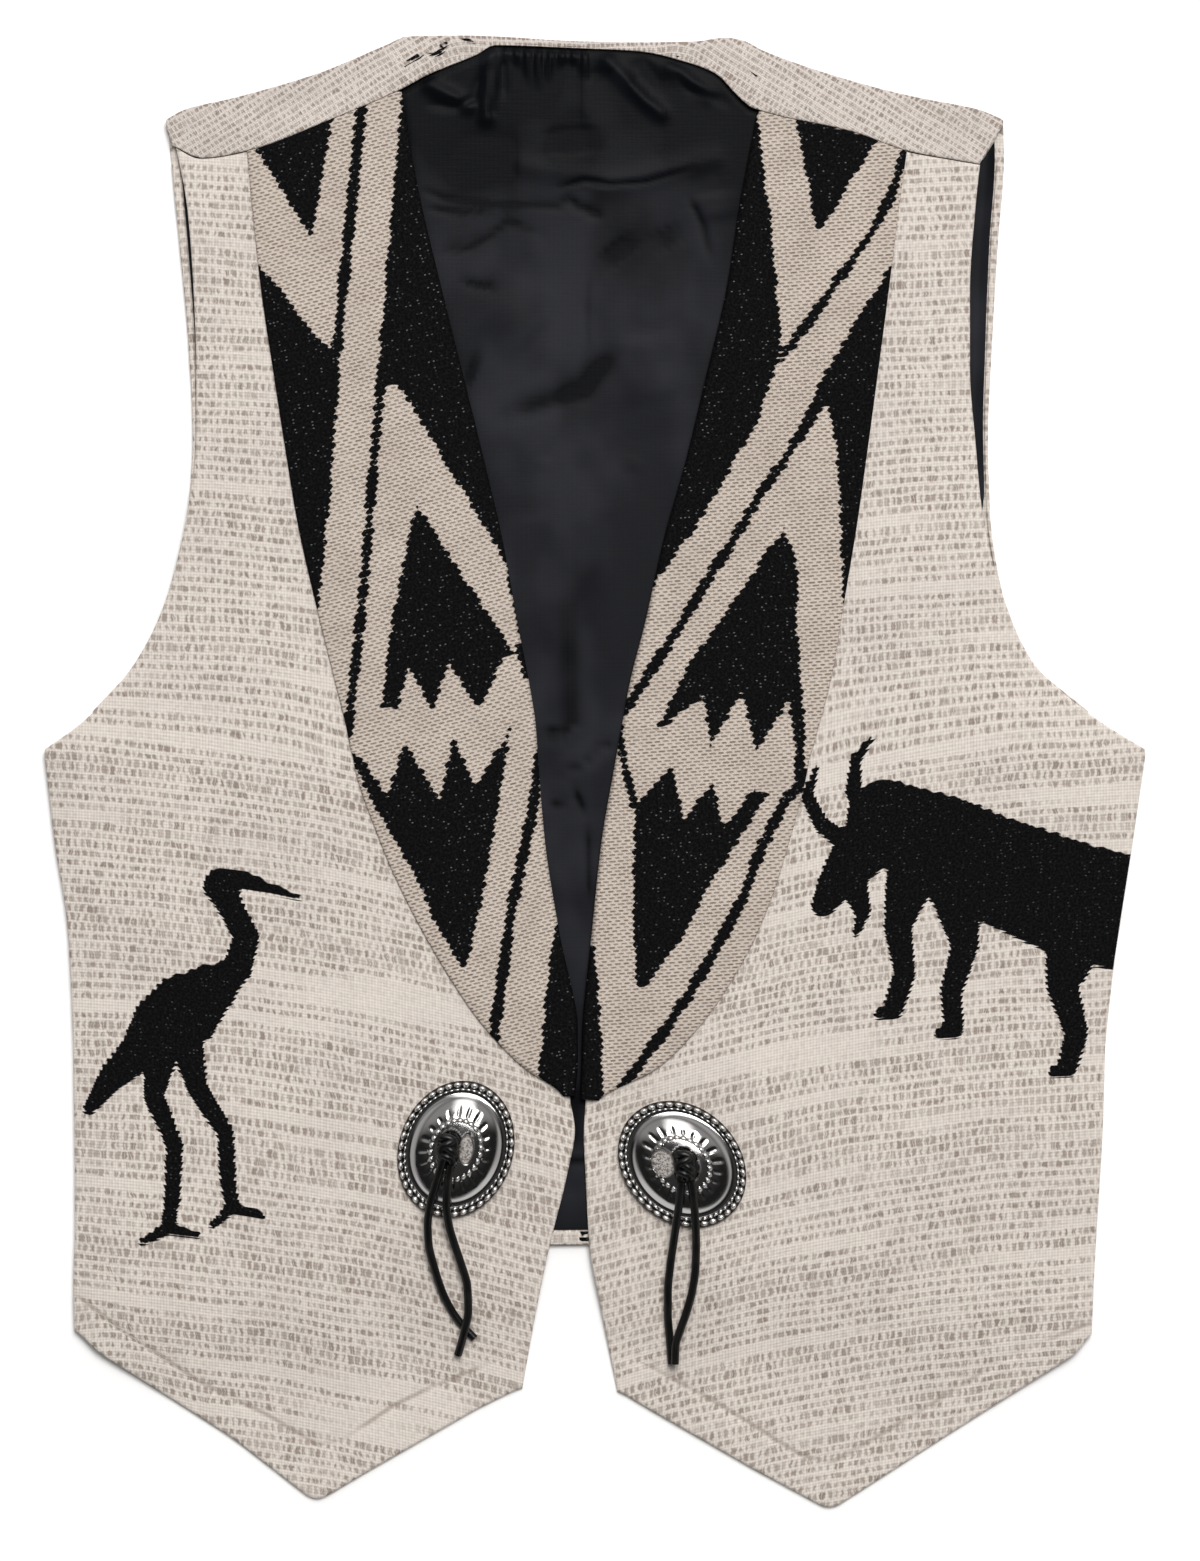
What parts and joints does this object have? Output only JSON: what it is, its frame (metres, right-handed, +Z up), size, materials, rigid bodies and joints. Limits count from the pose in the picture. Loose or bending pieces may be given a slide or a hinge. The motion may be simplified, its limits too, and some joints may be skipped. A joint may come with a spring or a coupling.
{
  "type": "woven shawl-lapel vest, laid flat",
  "caption": "Sleeveless woven vest laid flat: shawl lapels over pointed fronts, satin-lined back, oval conchos with leather lace ends.",
  "frame": {"origin": "middle of the vest's outline in plan, on the surface that it lies on", "axes": "+Z up from the surface, +Y from the hem to the neck, +X to the right as seen from above"},
  "size_m": [0.4747, 0.6356, 0.0205],
  "materials": {
    "natural_cloth": "matte coarse basket weave, natural and taupe",
    "lapel_cloth": "matte stitched inlay, natural and black",
    "lining_satin": "soft satin sheen",
    "concho_silver": "polished, darkened in the recesses",
    "lace_leather": "semi-matte"
  },
  "bodies": {
    "root": {"back": "natural_cloth", "back_lining": "lining_satin", "armhole_facing_left": "natural_cloth", "armhole_facing_right": "natural_cloth", "hem_facing": "natural_cloth", "front_left": "natural_cloth", "front_right": "natural_cloth", "lapel_left": "lapel_cloth", "lapel_right": "lapel_cloth", "concho_left": "concho_silver", "concho_right": "concho_silver", "knot_left": "lace_leather", "knot_right": "lace_leather", "lace_left_outer": "lace_leather", "lace_left_inner": "lace_leather", "lace_right_outer": "lace_leather", "lace_right_inner": "lace_leather"}
  },
  "joints": []
}
